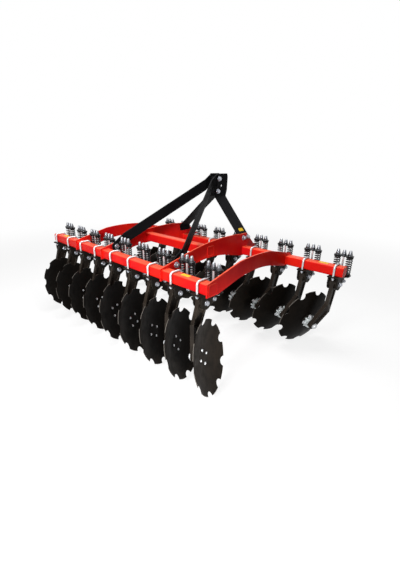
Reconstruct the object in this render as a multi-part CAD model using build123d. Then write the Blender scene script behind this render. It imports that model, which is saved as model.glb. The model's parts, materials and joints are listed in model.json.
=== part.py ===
"""Mounted compact disc harrow: two beams of sprung disc arms, joined by four arch plates under a hitch mast.

Millimetres. +X is the machine's right, +Y is forward, to the tractor, and +Z is up.
The origin is on the ground, under the middle of the machine's box.
"""

import os
from math import acos, asin, atan2, cos, degrees, hypot, radians, sin, sqrt

from build123d import *

# beams
beam_size = 80.0            # outside of the square tube
beam_wall = 6.0
beam_corner = 12.0
beam_overhang = 65.0        # from the last arm to the beam's free end
beam_proud = 2.0            # past the outer plate's face, at the beam's other end
row_gap = 1016.0            # rear beam to front beam, centre to centre
middle_beam_rise = 83.0     # middle beam above the other two
drain_radius = 5.0
drain_inset = 40.0

# arms along a beam
units_per_row = 9
unit_pitch = 260.0
shift_in_pitches = 1        # each row's middle lies this many arms to one side of the machine's middle

# arch plates and lower hitch
plate_thickness = 12.0
hitch_spread = 825.0        # between the inner plates' outer faces
outer_plate_gap = 92.0      # last arm to an outer plate's outer face
collar_below = 5.0          # plate left under a beam
collar_above = 10.0
collar_end = 15.0           # before and behind a beam
arch_foot_rise = 10.0       # lower edge where the arch begins
arch_rise = 28.0            # lower edge at the middle
arch_reach = 300.0          # beam centre to where the arch begins
outer_shoulder = 132.0      # upper edge where the arch begins
outer_crown = 142.0         # upper edge at the middle
inner_shoulder = 131.0
inner_crown = 162.0
slot_clearance = 0.3
lug_top = 165.0             # inner plate above the front beam, where the mast stands
lug_back = 70.0             # front beam centre back to the lug's rear end
lug_front = 18.0
lug_slope = 140.0           # front beam centre to the foot of the lug's front slope
hitch_pin_radius = 14.0
hitch_pin_length = 85.0
hitch_pin_ahead = 232.0     # front beam centre to hitch pin
hitch_pin_drop = 33.0
hitch_eye_radius = 42.0
hitch_collar_radius = 24.0
hitch_collar_length = 8.0

# mast
mast_thickness = 12.0
mast_height = 610.0         # hitch pins to top link hole
mast_head_gap = 92.0        # between the head plates
mast_head_top = 690.0
mast_knee = 475.0           # where the head plates turn outward
mast_foot_knee = 140.0
mast_foot = 85.0
top_link_radius = 12.85
top_link_ahead = 50.0       # front beam centre to top link hole
brace_thickness = 12.0
brace_depth = 86.0
brace_tab = 90.0            # straight length past each brace bolt
brace_top = (8.0, 642.0)    # brace bolt in the head: ahead of the front beam, above beam centre
brace_foot = (105.0, 50.0)  # brace bolt in the inner plate: ahead of the rear beam, above beam centre
tie_low = (-6.0, 525.0)     # lower tie tube, as brace_top
tie_radius = 17.0
tie_bore = 10.0
# mast plate from the side: ahead of the front beam, above beam centre
mast_outline = (
    (8.0, mast_head_top),
    (130.0, mast_head_top),
    (141.0, mast_head_top - 30.0),
    (136.0, mast_knee + 60.0),
    (112.0, mast_knee - 20.0),
    (58.0, mast_foot_knee),
    (58.0, mast_foot),
    (-80.0, mast_foot),
    (-86.0, mast_foot_knee),
    (-40.0, mast_knee),
    (-8.0, mast_knee + 120.0),
)

# disc, hub and its place under the beam
disc_radius = 255.0
disc_thickness = 4.0
disc_dish = 52.0            # depth of the hollow, before its middle is flattened
disc_flat_radius = 62.0
disc_side = 173.0           # rim centre to the side of its arm
disc_back = 104.0
disc_drop = 428.0           # rim centre below the beam's centre
disc_angle = 21.0           # cutting angle to the line of travel
disc_tilt = 13.5            # rim leans back from upright
notch_count = 9
notch_radius = 37.0
notch_depth = 32.0
# how far each blade stands turned about its axle, from the left of its row to the right
front_turns = (19.0, 28.0, 64.0, 1.0, 49.0, 30.0, 128.0, 14.0, 84.0)
rear_turns = (14.0, 45.0, 103.0, 28.0, 219.0, 221.0, 273.0, 75.0, 173.0)
hub_flange_radius = 62.0
hub_flange = 10.0
hub_radius = 44.0
hub_length = 46.0           # flange included
axle_radius = 17.5
axle_clearance = 0.05
axle_end_gap = 2.0
hub_arm_gap = 2.0

# arm
arm_thickness = 30.0
arm_head_radius = 50.0
arm_boss_radius = 40.0      # around the pivot, between the cheeks
arm_bend_drop = 302.0       # bend's middle below the beam's centre
arm_bend_width = 104.0      # along the bend
arm_foot_radius = 36.0
arm_pocket = 7.0            # depth of the hollow along each side
arm_rim = 22.0              # rib left along each side of the hollow
arm_web = 28.0              # solid stretch left beside the bend
axle_head_radius = 21.0
axle_head = 15.0
lever_eye_radius = 20.0
lever_eye_drop = 10.0       # eye below the pivot

# bracket, U-bolt and pivot
pivot_drop = 110.0
pivot_pin_radius = 12.0
fit_gap = 0.3
cheek_spread = 82.0         # outside of the two cheeks
cheek_thickness = 10.0
cheek_radius = 50.0
cheek_nose_radius = 16.0
cheek_nose_drop = 110.0     # nose's lower edge
cheek_nose_gap = 2.0        # nose to the spring rods' heads
saddle_length = 140.0
saddle_thickness = 10.0
u_bolt_radius = 8.0
u_bolt_gap = 4.0            # leg to beam
u_bolt_bend = 24.0
u_bolt_tail = 22.0          # leg below the saddle

# spring pack
pack_ahead = 115.0          # spring line ahead of the beam's centre
spring_spread = 96.0        # between the two springs
spring_radius = 27.0
spring_inside = 18.0
seat_top = -60.0            # from the beam's centre
seat_thickness = 8.0
seat_depth = 54.0
seat_length = 150.0
pack_plate_top = 104.0
pack_plate_thickness = 8.0
rod_radius = 8.0
rod_head_radius = 13.0
rod_head = 12.0
dome_radius = 16.0
dome_height = 46.0
dome_skirt = 16.0
cap_radius = 12.0
pack_corner = 18.0          # rounded corners of the plate over the springs

# what follows from them
half_beam = beam_size / 2
half_arm = arm_thickness / 2
u_bolt_leg = half_beam + u_bolt_gap + u_bolt_radius      # beam's centre to the middle of a leg
seat_low = seat_top - seat_thickness
inner_plate_face = hitch_spread / 2
row_span = (units_per_row - 1) * unit_pitch / 2
row_shift = shift_in_pitches * unit_pitch
outer_plate_face = row_span - row_shift + outer_plate_gap
lean = radians(disc_tilt)
cut = radians(disc_angle)
disc_normal = Vector(cos(cut) * cos(lean), sin(cut) * cos(lean), sin(lean))
dish_radius = (disc_radius**2 + disc_dish**2) / (2 * disc_dish)
dish_centre = dish_radius - disc_dish
flat_depth = sqrt(dish_radius**2 - disc_flat_radius**2) - dish_centre
lip = sqrt((dish_radius + disc_thickness) ** 2 - disc_radius**2) - dish_centre
notch_centre = disc_radius - notch_depth + notch_radius
hub_face = flat_depth + disc_thickness
arm_offset = hub_face + hub_length + hub_arm_gap + half_arm
rim_centre = Vector(disc_side, -disc_back, -disc_drop)
beam_height = disc_drop + disc_radius * cos(lean) + lip * sin(lean)

# row, middle of its arms along X, its beam along Y, side its discs stand on, beam's ends along X, blade turns
beam_free_end = row_shift + row_span + beam_overhang
beam_plate_end = outer_plate_face + beam_proud
ROWS = (
    ("front", row_shift, row_gap / 2, -1, -beam_plate_end, beam_free_end, front_turns),
    ("rear", -row_shift, -row_gap / 2, 1, -beam_free_end, beam_plate_end, rear_turns),
)


def box_between(low, high):
    """Box from its lowest to its highest corner."""
    size = [b - a for a, b in zip(low, high)]
    return Pos(*low) * Box(*size, align=(Align.MIN, Align.MIN, Align.MIN))


def prism_x(points, low, high):
    """Prism along X from its outline in (y, z)."""
    face = make_face(Polyline(*[(low, y, z) for y, z in points], close=True))
    return extrude(face, amount=high - low, dir=(1, 0, 0))


def disc_x(y, z, radius, low, high):
    """Round bar along X."""
    face = Plane.YZ.offset(low) * Pos(y, z) * Circle(radius)
    return extrude(face, amount=high - low, dir=(1, 0, 0))


def tangent_point(centre, radius, point, side):
    """Where a line from a point touches a circle, on the side given, in two coordinates."""
    over, up = point[0] - centre[0], point[1] - centre[1]
    turn = atan2(up, over) + side * acos(radius / hypot(over, up))
    return centre[0] + radius * cos(turn), centre[1] + radius * sin(turn)


def belt_x(first, first_radius, second, second_radius, low, high):
    """Prism along X round two circles in (y, z), and the two straight sides that touch both."""
    over, up = second[0] - first[0], second[1] - first[1]
    heading = atan2(up, over)
    spread = acos((first_radius - second_radius) / hypot(over, up))
    sides = []
    for turn in (heading + spread, heading - spread):
        ends = ((first, first_radius), (second, second_radius))
        sides.append([(c[0] + r * cos(turn), c[1] + r * sin(turn)) for c, r in ends])
    strap = prism_x(sides[0] + sides[1][::-1], low, high)
    return strap + disc_x(*first, first_radius, low, high) + disc_x(*second, second_radius, low, high)


def drill(x, y, radius):
    """Drill from under the arm to over the springs, for a round bar of this radius."""
    return Pos(x, y, 0) * Cylinder(radius + fit_gap, 2 * (pivot_drop + pack_plate_top))


def only(shape):
    """The one solid that a build must have left."""
    solids = shape.solids()
    if len(solids) != 1:
        raise ValueError(f"expected one solid, found {len(solids)}")
    return solids[0]


def square_tube_x(x_low, x_high, y, z):
    """Square tube along X with welded end caps and a drain hole near each end."""
    outline = Plane.YZ * RectangleRounded(beam_size, beam_size, beam_corner)
    inner_size = beam_size - 2 * beam_wall
    hollow = Plane.YZ * RectangleRounded(inner_size, inner_size, beam_corner - beam_wall)
    length = x_high - x_low
    tube = extrude(outline, amount=length, dir=(1, 0, 0))
    tube -= Pos(beam_wall, 0, 0) * extrude(hollow, amount=length - 2 * beam_wall, dir=(1, 0, 0))
    for x in (drain_inset, length - drain_inset):
        tube -= Pos(x, 0, -half_beam + beam_wall / 2) * Cylinder(drain_radius, 2 * beam_wall)
    return Pos(x_low, y, z) * only(tube)


def mitred_strip(points, thickness):
    """Outline of a bent strip of one thickness, about its middle line in two coordinates."""
    normals = []
    for (a, b), (c, d) in zip(points, points[1:]):
        run = hypot(c - a, d - b)
        normals.append(((b - d) / run, (c - a) / run))
    left, right = [], []
    for (a, b), before, after in zip(points, normals[:1] + normals, normals + normals[-1:]):
        mean = (before[0] + after[0], before[1] + after[1])
        scale = thickness / (mean[0] ** 2 + mean[1] ** 2)
        left.append((a + mean[0] * scale, b + mean[1] * scale))
        right.append((a - mean[0] * scale, b - mean[1] * scale))
    return left + right[::-1]


# frame
def arch_plate(face_x, side, shoulder, crown, is_inner):
    """Arch plate around the beams. Its outer face is at face_x, on the side given by side."""
    rear, front = -row_gap / 2, row_gap / 2
    start, end = rear + arch_reach, front - arch_reach
    low, high, reach = -half_beam - collar_below, half_beam + collar_above, half_beam + collar_end
    eye = (front + hitch_pin_ahead, -hitch_pin_drop)
    outline = [
        Line((front + reach, low), (front - reach, low)),
        Line((front - reach, low), (end, arch_foot_rise)),
        ThreePointArc((end, arch_foot_rise), (0, arch_rise), (start, arch_foot_rise)),
        Line((start, arch_foot_rise), (rear + reach, low)),
        Line((rear + reach, low), (rear - reach, low)),
        Line((rear - reach, low), (rear - reach, high)),
        Line((rear - reach, high), (start, shoulder)),
    ]
    if is_inner:
        corners = [
            (front - lug_back, lug_top),
            (front + lug_front, lug_top),
            (front + lug_slope, high),
            (eye[0], eye[1] + hitch_eye_radius),
            (eye[0], eye[1] - hitch_eye_radius),
            (front + reach, low),
        ]
    else:
        corners = [(end, shoulder), (front + reach, high), (front + reach, low)]
    outline.append(ThreePointArc((start, shoulder), (0, crown), corners[0]))
    outline += [Line(a, b) for a, b in zip(corners, corners[1:])]
    face = make_face([Plane.YZ * edge for edge in outline])
    inner_x = face_x - side * plate_thickness
    low_x, high_x = min(face_x, inner_x), max(face_x, inner_x)
    plate = Pos(low_x, 0, 0) * extrude(face, amount=plate_thickness, dir=(1, 0, 0))
    slot_size = beam_size + 2 * slot_clearance
    slot = Plane.YZ * RectangleRounded(slot_size, slot_size, beam_corner + slot_clearance)
    slot = Pos(low_x, 0, 0) * extrude(slot, amount=plate_thickness, dir=(1, 0, 0))
    plate -= Pos(0, rear, 0) * slot + Pos(0, front, 0) * slot
    if is_inner:
        plate -= Pos(0, 0, middle_beam_rise) * slot
        plate += disc_x(*eye, hitch_eye_radius, low_x, high_x)
        pin_end = face_x + side * hitch_pin_length
        plate += disc_x(*eye, hitch_pin_radius, min(low_x, pin_end), max(high_x, pin_end))
        collar_face = inner_x - side * hitch_collar_length
        plate += disc_x(*eye, hitch_collar_radius, min(inner_x, collar_face), max(inner_x, collar_face))
    return Pos(0, 0, beam_height) * only(plate)


# mast
def mast_plate(side):
    """Head plate, splayed leg and foot of one side, bent from one flat bar."""
    head_x = mast_head_gap / 2 + mast_thickness / 2
    foot_x = inner_plate_face - plate_thickness - mast_thickness / 2
    line = [(head_x, mast_head_top), (head_x, mast_knee), (foot_x, mast_foot_knee), (foot_x, mast_foot)]
    front = row_gap / 2
    strip = make_face(Polyline(*[(x, 0, z) for x, z in mitred_strip(line, mast_thickness)], close=True))
    bar = extrude(strip, amount=row_gap, dir=(0, 1, 0))
    outline = [(front + ahead, rise) for ahead, rise in mast_outline]
    bar &= prism_x(outline, 0, 2 * foot_x)
    bar -= disc_x(front + top_link_ahead, mast_height - hitch_pin_drop, top_link_radius, 0, 2 * head_x)
    bar = only(bar)
    if side < 0:
        bar = mirror(bar, about=Plane.YZ)
    return Pos(0, 0, beam_height) * bar


def mast_brace(side):
    """Flat bar on edge, from inside a head plate back to inside an inner arch plate."""
    head_x = mast_head_gap / 2 - brace_thickness / 2
    foot_x = inner_plate_face - plate_thickness - brace_thickness / 2
    head_y = row_gap / 2 + brace_top[0]
    foot_y = -row_gap / 2 + brace_foot[0]
    plan = [
        (foot_x, foot_y - brace_depth),
        (foot_x, foot_y + brace_tab),
        (head_x, head_y - brace_tab),
        (head_x, head_y + brace_depth),
    ]
    strip = make_face(Polyline(*mitred_strip(plan, brace_thickness), close=True))
    bar = extrude(strip, amount=mast_head_top + brace_depth)
    run = hypot(head_y - foot_y, brace_top[1] - brace_foot[1])
    rise = degrees(atan2(brace_top[1] - brace_foot[1], head_y - foot_y))
    middle = ((head_y + foot_y) / 2, (brace_top[1] + brace_foot[1]) / 2)
    slope = Plane.YZ * Pos(*middle) * Rot(0, 0, rise) * SlotCenterToCenter(run, brace_depth)
    bar = Pos(0, 0, -brace_depth / 2) * bar
    bar &= extrude(slope, amount=2 * foot_x, dir=(1, 0, 0))
    bar = only(bar)
    if side < 0:
        bar = mirror(bar, about=Plane.YZ)
    return Pos(0, 0, beam_height) * bar


def mast_ties():
    """Two spacer tubes across the mast head: one between the braces, one between the plates."""
    tubes = []
    # place, half length
    for (ahead, rise), half in (
        (brace_top, mast_head_gap / 2 - brace_thickness),
        (tie_low, mast_head_gap / 2),
    ):
        y, z = row_gap / 2 + ahead, beam_height + rise
        tube = disc_x(y, z, tie_radius, -half, half) - disc_x(y, z, tie_bore, -half, half)
        tubes.append(only(tube))
    return tubes


# arm, bracket and spring pack, about the beam's centre, discs to the right
def arm_planes():
    """Bend centre, and the two plates' planes there: x along the bend, y down the arm."""
    foot = rim_centre - disc_normal * arm_offset
    drop = -arm_bend_drop
    push = disc_normal.X * foot.X - disc_normal.Z * (drop - foot.Z)
    bend = Vector(0, foot.Y + push / disc_normal.Y, drop)
    along = Vector(1, 0, 0).cross(disc_normal).normalized()
    if along.Z < 0:
        along = -along
    upper = Plane(origin=bend, x_dir=along, z_dir=(1, 0, 0))
    lower = Plane(origin=bend, x_dir=along, z_dir=disc_normal)
    return upper, lower, foot


def arm_bar(plane, end, end_radius):
    """One plate of the arm, from its round end to past the bend, hollowed along both sides."""
    far = plane.to_local_coords(end)
    run = hypot(far.X, far.Y)
    half = arm_bend_width / 2
    along = Vector(far.X, far.Y, 0) / run
    past = along * (-arm_thickness / abs(along.Y))
    turn = 1 if far.Y > 0 else -1
    first = tangent_point((far.X, far.Y), end_radius, (half, 0), turn)
    last = tangent_point((far.X, far.Y), end_radius, (-half, 0), -turn)
    outline = [first, (half, 0), (half + past.X, past.Y), (past.X - half, past.Y), (-half, 0), last]
    sketch = make_face(Polyline(*outline, close=True)) + Pos(far.X, far.Y) * Circle(end_radius)
    bar = extrude(plane * sketch, amount=half_arm, both=True)
    across = Vector(along.Y, -along.X, 0)
    pocket = []
    # place along the bar, side of it
    for place, side in (
        (arm_web, 1),
        (run - end_radius, 1),
        (run - end_radius, -1),
        (arm_web, -1),
    ):
        width = half + (end_radius - half) * place / run - arm_rim
        corner = along * place + across * (side * width)
        pocket.append((corner.X, corner.Y))
    hollow = make_face(Polyline(*pocket, close=True))
    for face_at in (half_arm, -half_arm):
        bar -= extrude(plane * Pos(0, 0, face_at) * hollow, amount=arm_pocket, both=True)
    return bar


def arm():
    """Forged arm: head on the pivot, lever to the spring rod, leg bent to the disc, stub axle."""
    upper, lower, foot = arm_planes()
    mitre = Plane(origin=upper.origin, z_dir=(upper.y_dir + lower.y_dir).normalized())
    leg = arm_bar(upper, Vector(0, 0, -pivot_drop), arm_head_radius)
    shin = arm_bar(lower, foot, arm_foot_radius)
    body = split(leg, bisect_by=mitre, keep=Keep.BOTTOM) + split(shin, bisect_by=mitre, keep=Keep.TOP)
    pivot, eye = (0, -pivot_drop), (pack_ahead, -pivot_drop - lever_eye_drop)
    body += belt_x(pivot, arm_boss_radius, eye, lever_eye_radius, -half_arm, half_arm)
    rod_seat = eye[1] + lever_eye_radius
    seat_back = (-half_arm, pack_ahead - rod_head_radius, rod_seat)
    body -= box_between(seat_back, (half_arm, pack_ahead + lever_eye_radius, rod_seat + lever_eye_radius))
    boss = cheek_spread / 2 - cheek_thickness - fit_gap
    body += disc_x(*pivot, arm_boss_radius, -boss, boss)
    body -= disc_x(*pivot, pivot_pin_radius + fit_gap, -boss, boss)
    axis = Plane(origin=rim_centre, z_dir=-disc_normal)
    start = hub_face + axle_end_gap
    on_start = (Align.CENTER, Align.CENTER, Align.MIN)
    body += axis * Pos(0, 0, start) * Cylinder(axle_radius, arm_offset - start, align=on_start)
    body += axis * Pos(0, 0, arm_offset) * Cylinder(axle_head_radius, half_arm + axle_head, align=on_start)
    return only(body)


def bracket():
    """Saddle under the beam, two cheeks with the pivot pin, and the springs' seat."""
    half = cheek_spread / 2
    saddle_low = -half_beam - saddle_thickness
    body = box_between((-half, -saddle_length / 2, saddle_low), (half, saddle_length / 2, -half_beam))
    front = pack_ahead - rod_head_radius - cheek_nose_gap
    nose = (front - cheek_nose_radius, cheek_nose_radius - cheek_nose_drop)
    cheek = [
        (-cheek_radius, saddle_low),
        (-cheek_radius, -pivot_drop),
        (0, -pivot_drop),
        nose,
        (front, nose[1]),
        (front, seat_low),
        (saddle_length / 2, seat_low),
        (saddle_length / 2, saddle_low),
    ]
    for low, high in ((-half, cheek_thickness - half), (half - cheek_thickness, half)):
        body += prism_x(cheek, low, high)
        body += belt_x((0, -pivot_drop), cheek_radius, nose, cheek_nose_radius, low, high)
    body += disc_x(0, -pivot_drop, pivot_pin_radius, -half, half)
    seat_low_corner = (-seat_length / 2, pack_ahead - seat_depth / 2, seat_low)
    seat_high_corner = (seat_length / 2, pack_ahead + seat_depth / 2, seat_top)
    body += box_between(seat_low_corner, seat_high_corner)
    for y in (-u_bolt_leg, u_bolt_leg):
        body -= drill(0, y, u_bolt_radius)
    for x in (-spring_spread / 2, 0, spring_spread / 2):
        body -= drill(x, pack_ahead, rod_radius)
    return only(body)


def u_bolt():
    """Round bar bent over the beam, its legs through the saddle."""
    top = half_beam + u_bolt_radius + fit_gap
    foot = -half_beam - saddle_thickness - u_bolt_tail
    corners = [(0, -u_bolt_leg, foot), (0, -u_bolt_leg, top), (0, u_bolt_leg, top), (0, u_bolt_leg, foot)]
    path = FilletPolyline(*corners, radius=u_bolt_bend)
    section = Plane(origin=corners[0], z_dir=(0, 0, 1)) * Circle(u_bolt_radius)
    return only(sweep(section, path=path))


def pack_plate():
    """Plate over the two springs, drilled for the three rods."""
    size = (seat_length, seat_depth, pack_plate_thickness)
    plate = Pos(0, pack_ahead, pack_plate_top - pack_plate_thickness / 2) * Box(*size)
    plate = fillet(plate.edges().filter_by(Axis.Z), pack_corner)
    for x in (-spring_spread / 2, 0, spring_spread / 2):
        plate -= drill(x, pack_ahead, rod_radius)
    return only(plate)


def rod(x):
    """Spring rod with its domed nut. The middle one ends on the arm's lever."""
    foot = seat_low - fit_gap - rod_head
    if x == 0:
        foot = lever_eye_radius - pivot_drop - lever_eye_drop + fit_gap
    nut = pack_plate_top + fit_gap
    shape = Pos(x, pack_ahead, foot) * Cylinder(
        rod_radius, nut - foot, align=(Align.CENTER, Align.CENTER, Align.MIN)
    )
    waist = dome_height - cap_radius
    mid = cap_radius * sqrt(0.5)
    outline = [
        Line((0, 0), (dome_radius, 0)),
        Line((dome_radius, 0), (dome_radius, dome_skirt)),
        Line((dome_radius, dome_skirt), (cap_radius, waist)),
        ThreePointArc((cap_radius, waist), (mid, waist + mid), (0, dome_height)),
        Line((0, dome_height), (0, 0)),
    ]
    face = make_face([Plane.XZ * edge for edge in outline])
    shape += Pos(x, pack_ahead, nut) * revolve(face, axis=Axis.Z)
    if x:
        shape += Pos(x, pack_ahead, foot) * Cylinder(
            rod_head_radius, rod_head, align=(Align.CENTER, Align.CENTER, Align.MIN)
        )
    return only(shape)


def spring(x):
    """Sleeve that a coil spring fills, between the seat and the top plate."""
    length = pack_plate_top - pack_plate_thickness - seat_top - 2 * fit_gap
    sleeve = Cylinder(spring_radius, length) - Cylinder(spring_inside, length)
    return Pos(x, pack_ahead, seat_top + fit_gap + length / 2) * only(sleeve)


# disc and hub, about the rim's centre, axis along Z away from the arm
def disc_blade(turned):
    """Dished blade with a flat middle. Its first notch is turned from the plane's x axis."""
    outer = dish_radius + disc_thickness
    flat_outer = flat_depth + disc_thickness
    lip_in = sqrt(outer**2 - disc_flat_radius**2) - dish_centre
    half = (asin(disc_flat_radius / dish_radius) + asin(disc_radius / dish_radius)) / 2
    inner_mid = (dish_radius * sin(half), dish_centre - dish_radius * cos(half))
    outer_mid = (outer * sin(half), dish_centre - outer * cos(half))
    outline = [
        Line((0, -flat_outer), (0, -flat_depth)),
        Line((0, -flat_depth), (disc_flat_radius, -flat_depth)),
        ThreePointArc((disc_flat_radius, -flat_depth), inner_mid, (disc_radius, 0)),
        Line((disc_radius, 0), (disc_radius, -lip)),
        ThreePointArc((disc_radius, -lip), outer_mid, (disc_flat_radius, -lip_in)),
        Line((disc_flat_radius, -lip_in), (disc_flat_radius, -flat_outer)),
        Line((disc_flat_radius, -flat_outer), (0, -flat_outer)),
    ]
    blade = revolve(make_face([Plane.XZ * edge for edge in outline]), axis=Axis.Z)
    for i in range(notch_count):
        place = Rot(0, 0, turned + 360 / notch_count * i) * Pos(notch_centre, 0, 0)
        blade -= place * Cylinder(notch_radius, 2 * disc_dish)
    return only(blade)


def disc_hub():
    """Bearing hub behind the blade, bored for the arm's stub axle."""
    outline = [
        (axle_radius + axle_clearance, 0),
        (hub_flange_radius, 0),
        (hub_flange_radius, -hub_flange),
        (hub_radius, -hub_flange),
        (hub_radius, -hub_length),
        (axle_radius + axle_clearance, -hub_length),
    ]
    face = make_face(Polyline(*[(r, 0, a) for r, a in outline], close=True))
    return Pos(0, 0, -hub_face) * only(revolve(face, axis=Axis.Z))


def one_unit():
    """Pieces of one arm's unit by name, without its disc."""
    halves = (-spring_spread / 2, spring_spread / 2)
    return {
        "arms": [arm()],
        "brackets": [bracket()],
        "u_bolts": [u_bolt()],
        "springs": [spring(x) for x in halves],
        "spring_rods": [rod(x) for x in (halves[0], 0, halves[1])],
        "spring_plates": [pack_plate()],
    }


def build():
    """Every node's solids, by name, before the machine is set on its origin."""
    nodes = {}
    unit = one_unit()
    down_rim = disc_normal * disc_normal.Z - Vector(0, 0, 1)
    disc_plane = Plane(origin=rim_centre, x_dir=down_rim, z_dir=disc_normal)
    hub = disc_plane * disc_hub()
    for row, middle, beam_y, hand, x_low, x_high, turns in ROWS:
        nodes[f"{row}_beam"] = [square_tube_x(x_low, x_high, beam_y, beam_height)]
        for i in range(units_per_row):
            place = Pos(middle - row_span + i * unit_pitch, beam_y, beam_height)
            blade = disc_plane * disc_blade(turns[i % len(turns)])
            pieces = {**unit, f"blade_{i + 1}": [blade], f"hub_{i + 1}": [hub]}
            for piece, solids in pieces.items():
                sided = [mirror(s, about=Plane.YZ) if hand < 0 else s for s in solids]
                nodes.setdefault(f"{row}_{piece}", []).extend(place * s for s in sided)
    end = inner_plate_face + beam_proud
    nodes["middle_beam"] = [square_tube_x(-end, end, 0, beam_height + middle_beam_rise)]
    for name, side in (("left", -1), ("right", 1)):
        inner = (side * inner_plate_face, side, inner_shoulder, inner_crown, True)
        outer = (side * outer_plate_face, side, outer_shoulder, outer_crown, False)
        nodes[f"{name}_inner_plate"] = [arch_plate(*inner)]
        nodes[f"{name}_outer_plate"] = [arch_plate(*outer)]
        nodes[f"mast_{name}_plate"] = [mast_plate(side)]
        nodes[f"mast_{name}_brace"] = [mast_brace(side)]
    nodes["mast_ties"] = mast_ties()
    return nodes


nodes = build()
whole = Compound(children=[Solid(s.wrapped) for solids in nodes.values() for s in solids])
span = whole.bounding_box()
origin_shift = Vector(-(span.min.X + span.max.X) / 2, -(span.min.Y + span.max.Y) / 2, 0)

if __name__ == "__main__":
    os.makedirs("parts", exist_ok=True)
    for name, solids in nodes.items():
        moved = [Pos(*origin_shift) * s for s in solids]
        export_step(moved[0] if len(moved) == 1 else Compound(children=moved), f"parts/{name}.step")
    print(len(nodes), "nodes; beam height", round(beam_height, 1), "; lowest", round(span.min.Z, 3))
    print("size", [round(v) for v in span.size], "shift", [round(v, 2) for v in origin_shift])
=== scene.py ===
# Mounted disc harrow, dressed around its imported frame. Metres: +X right, +Y forward to the tractor, +Z up.
import json
import math

import bmesh
import bpy
from mathutils import Matrix, Vector


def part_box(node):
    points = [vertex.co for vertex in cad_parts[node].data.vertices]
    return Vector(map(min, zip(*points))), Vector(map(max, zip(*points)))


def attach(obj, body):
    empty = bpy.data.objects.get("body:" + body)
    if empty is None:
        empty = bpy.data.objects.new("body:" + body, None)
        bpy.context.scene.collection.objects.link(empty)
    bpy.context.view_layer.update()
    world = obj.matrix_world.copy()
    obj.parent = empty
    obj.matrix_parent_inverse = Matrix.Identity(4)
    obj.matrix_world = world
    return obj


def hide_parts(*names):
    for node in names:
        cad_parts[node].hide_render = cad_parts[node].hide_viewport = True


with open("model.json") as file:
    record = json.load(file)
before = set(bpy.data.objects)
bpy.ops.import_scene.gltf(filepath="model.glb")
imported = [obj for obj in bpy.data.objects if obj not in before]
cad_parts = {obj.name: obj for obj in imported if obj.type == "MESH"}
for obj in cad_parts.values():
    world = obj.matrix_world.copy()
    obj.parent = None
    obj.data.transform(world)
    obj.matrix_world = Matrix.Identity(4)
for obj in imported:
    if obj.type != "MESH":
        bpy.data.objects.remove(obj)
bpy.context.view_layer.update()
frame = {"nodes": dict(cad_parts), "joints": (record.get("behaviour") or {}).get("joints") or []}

print("frame loaded:", len(frame["nodes"]), "nodes")


# where things are, read from the frame
def boxMiddle(node):
    low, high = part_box(node)
    return (low + high) / 2


def boxSize(node):
    low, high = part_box(node)
    return high - low


def readRow(name, hand):  # one row of units: its beam, its arms' places and its discs
    discs = []
    for joint in frame["joints"]:
        if joint["child"].startswith(name + "_disc"):
            discs.append((joint["child"], Vector(joint["pos_m"]), Vector(joint["axis"]).normalized()))
    discs.sort(key=lambda disc: disc[1].x)
    step = (discs[-1][1].x - discs[0][1].x) / (len(discs) - 1)
    low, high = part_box(name + "_brackets")
    edge = ((high.x - low.x) - step * (len(discs) - 1)) / 2
    beam = boxMiddle(name + "_beam")
    places = [Vector((low.x + edge + step * i, beam.y, beam.z)) for i in range(len(discs))]
    return {"name": name, "hand": hand, "discs": discs, "places": places, "step": step, "beam": beam}


rows = [readRow("front", -1), readRow("rear", 1)]
rearRow = rows[1]
unitCount = len(rearRow["places"])
halfBeam = boxSize("rear_beam").z / 2
plateThickness = boxSize("right_outer_plate").x
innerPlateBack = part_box("mast_right_brace")[1].x  # the braces' feet lie on the inner plates' inner faces
innerPlateFace = innerPlateBack + plateThickness


def halfUnit(node):  # half of one unit's width along X in a row's node
    return (boxSize("rear_" + node).x - rearRow["step"] * (unitCount - 1)) / 2


# mesh building
def placeAt(origin, axis=(0, 0, 1), turn=0.0):  # local +Z along axis, spun by turn
    aim = Vector(axis).to_track_quat("Z", "Y").to_matrix().to_4x4()
    return Matrix.Translation(Vector(origin)) @ aim @ Matrix.Rotation(turn, 4, "Z")


def addRings(mesh, rings, joinEnds=False):  # skin over equal rings of points, capped unless the ends join
    loops = [[mesh.verts.new(point) for point in ring] for ring in rings]
    count = len(loops[0])
    pairs = list(zip(loops, loops[1:]))
    if joinEnds:
        pairs.append((loops[-1], loops[0]))
    for lower, upper in pairs:
        for i in range(count):
            j = (i + 1) % count
            mesh.faces.new((lower[i], lower[j], upper[j], upper[i]))
    if not joinEnds:
        mesh.faces.new(loops[0][::-1])
        mesh.faces.new(loops[-1])


def addTurned(mesh, place, profile, sides, closed=False):  # profile is (radius, height) pairs
    rings = []
    for radius, height in profile:
        ring = []
        for i in range(sides):
            turn = 2 * math.pi * i / sides
            ring.append(place @ Vector((radius * math.cos(turn), radius * math.sin(turn), height)))
        rings.append(ring)
    addRings(mesh, rings, joinEnds=closed)


# bolts, nuts and washers
fastenerShape = {
    "perFlat": 4,               # points along one flat of a hexagon
    "chamferFrom": 0.49,        # where the turned corners begin, of the width across flats
    "chamferAngle": 30,
    "crown": 0.97,              # top face, of the turned circle
    "crownRise": 0.0002,
    "pitch": 0.0022,
    "threadDepth": 0.5,         # of the pitch
    "ringsPerPitch": 4,
    "threadSides": 14,
    "washerBevel": 0.25,        # of its thickness
    "washerFlat": 0.3,          # inner end of its top face, of its radius
    "washerSides": 28,
    "washerThickness": 0.003,
}


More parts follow.
